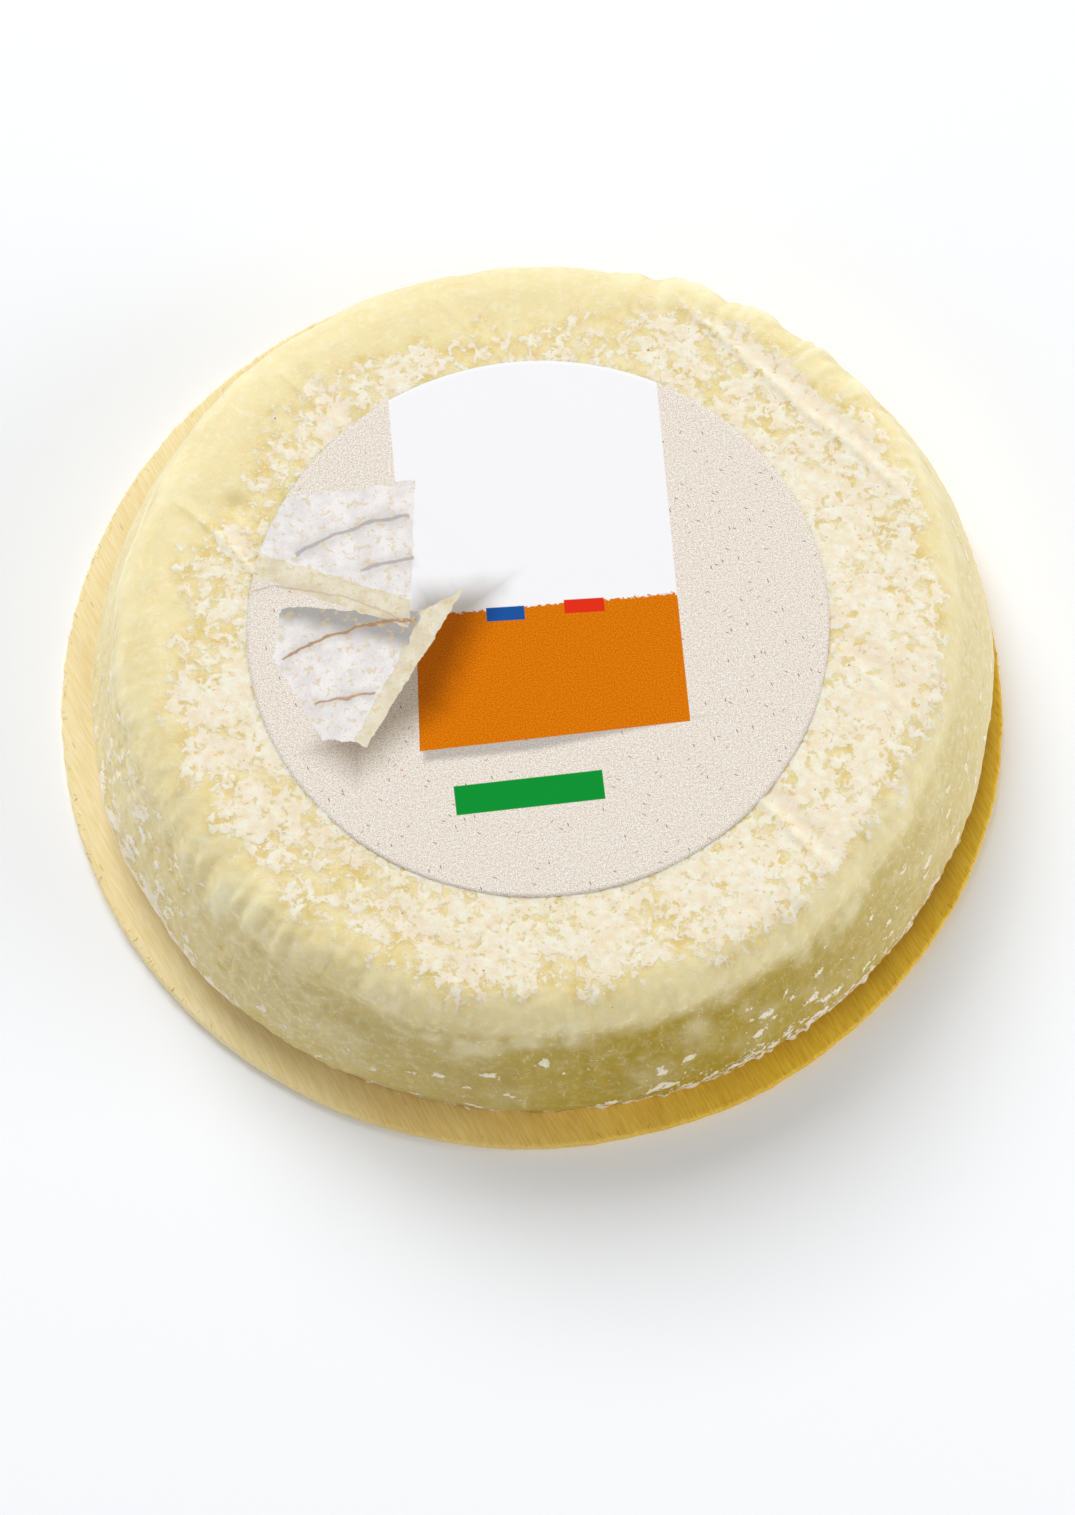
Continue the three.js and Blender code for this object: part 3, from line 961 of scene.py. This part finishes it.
def label_material():
    """Speckled grey-brown paper with a printed white panel, an orange panel and a picture of two wedges."""
    material, n, surface = new_material("printed_label")
    metres = n.add("ShaderNodeTexCoord").outputs["Object"]
    centred = n.vector("SUBTRACT", metres, (LABEL_CENTRE.x, LABEL_CENTRE.y, 0.0))
    place = n.vector("MULTIPLY", centred, (1 / MM, 1 / MM, 0.0))
    grain = n.noise(place, 0.14, detail=1.0)
    colour = paper_colour(n, place, grain)
    colour = draw_panels(n, place, colour, grain)
    colour = wedge_picture(n, place, colour)
    n.put(colour, surface["Base Color"])
    surface["Roughness"].default_value = 0.7
    surface["Specular IOR Level"].default_value = 0.04
    n.put(bump(n, grain, 0.02 * MM, 0.5), surface["Normal"])
    return material


def label_lift(x, y):
    """How far the label's underside stands above the cheese's top face at a place, in metres."""
    place = np.stack([x, y, 0 * x], -1)
    over_ridge = near(ridge_distance(place), 0, 1.6 * MM)
    return GLUE_GAP + RIDGE_GAP * over_ridge + swell(place, 16 * MM, 30) * LOOSE_GAP


def make_label():
    angles = np.linspace(-math.pi, math.pi, LABEL_EDGE_POINTS, endpoint=False)
    thick = LABEL_HIGH.z - LABEL_LOW.z
    rows = []
    for level, order in ((0, LABEL_RINGS), (1, LABEL_RINGS[::-1])):
        for share in order:
            lean = LABEL_EDGE_LEAN if share == 1.0 and level else 0
            radius = LABEL_RADIUS * share - lean
            x = LABEL_CENTRE.x + radius * np.cos(angles)
            y = LABEL_CENTRE.y + radius * np.sin(angles)
            z = LABEL_LOW.z + label_lift(x, y) + level * thick
            rows.append(np.stack([x, y, z], -1))
    lift = float(label_lift(np.array([LABEL_CENTRE.x]), np.array([LABEL_CENTRE.y]))[0])
    low = [LABEL_CENTRE.x, LABEL_CENTRE.y, LABEL_LOW.z + lift]
    high = [LABEL_CENTRE.x, LABEL_CENTRE.y, LABEL_HIGH.z + lift]
    mesh = closed_mesh("round_label", np.array(rows), low, high)
    mesh.materials.append(label_material())
    return add_object("round_label", mesh)


# ---- The studio ----

FLOOR_REACH = 8.0
FLOOR_COLOUR = (0.96, 0.975, 1.0, 1)
WORLD_STRENGTH = 0.262
# Each lamp: its name, its place and size in metres, and its power in watts.
LAMPS = [
    ("key_light", (-0.36, 1.17, 1.20), 0.95, 22.7),
    ("side_light", (0.82, -0.28, 0.36), 0.6, 4.1),
    ("fill_light", (-0.74, -0.50, 0.42), 0.7, 2.0),
]
LAMP_AIM = Vector((0, 0, 0.01))


def make_floor():
    mesh = bpy.data.meshes.new("floor")
    corners = [(x * FLOOR_REACH, y * FLOOR_REACH, 0) for x, y in ((-1, -1), (1, -1), (1, 1), (-1, 1))]
    mesh.from_pydata(corners, [], [(0, 1, 2, 3)])
    material, _, surface = new_material("pale_floor")
    surface["Base Color"].default_value = FLOOR_COLOUR
    surface["Emission Color"].default_value = (1, 1, 1, 1)
    surface["Emission Strength"].default_value = 0.01
    surface["Roughness"].default_value = 0.9
    surface["Specular IOR Level"].default_value = 0.1
    mesh.materials.append(material)
    add_object("floor", mesh)


def add_lamp(name, place, size, power):
    """A square soft light that faces the wheel."""
    lamp = bpy.data.lights.new(name, "AREA")
    lamp.size = size
    lamp.energy = power
    holder = add_object(name, lamp)
    holder.location = place
    holder.rotation_euler = (LAMP_AIM - Vector(place)).to_track_quat("-Z", "Y").to_euler()


def make_studio():
    make_floor()
    for lamp in LAMPS:
        add_lamp(*lamp)
    world = bpy.data.worlds.new("studio")
    world.use_nodes = True
    background = world.node_tree.nodes["Background"].inputs
    background["Color"].default_value = (1, 1, 1, 1)
    background["Strength"].default_value = WORLD_STRENGTH
    bpy.context.scene.world = world
    bpy.context.scene.view_settings.view_transform = "Standard"


def make_camera():
    data = bpy.data.cameras.new("camera")
    data.lens = CAMERA_LENS
    data.sensor_fit = "VERTICAL"
    data.sensor_height = CAMERA_FILM_HEIGHT
    data.clip_start = 0.01
    camera = add_object("camera", data)
    tilt = Matrix.Rotation(math.radians(90 - CAMERA_ELEVATION), 4, "X")
    roll = Matrix.Rotation(math.radians(CAMERA_ROLL), 4, "Z")
    back = tilt @ Vector((0, 0, CAMERA_DISTANCE))
    camera.matrix_world = Matrix.Translation(Vector(CAMERA_AIM) + back) @ tilt @ roll
    bpy.context.scene.camera = camera


make_camera()
make_studio()

for make, node, slot in (
    (make_cheese, "cheese", "cheese_rind"),
    (make_round, "wooden_round", "poplar_wood"),
    (make_label, "paper_label", "label_paper"),
):
    piece = make()
    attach(piece, "root")
    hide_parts(node)
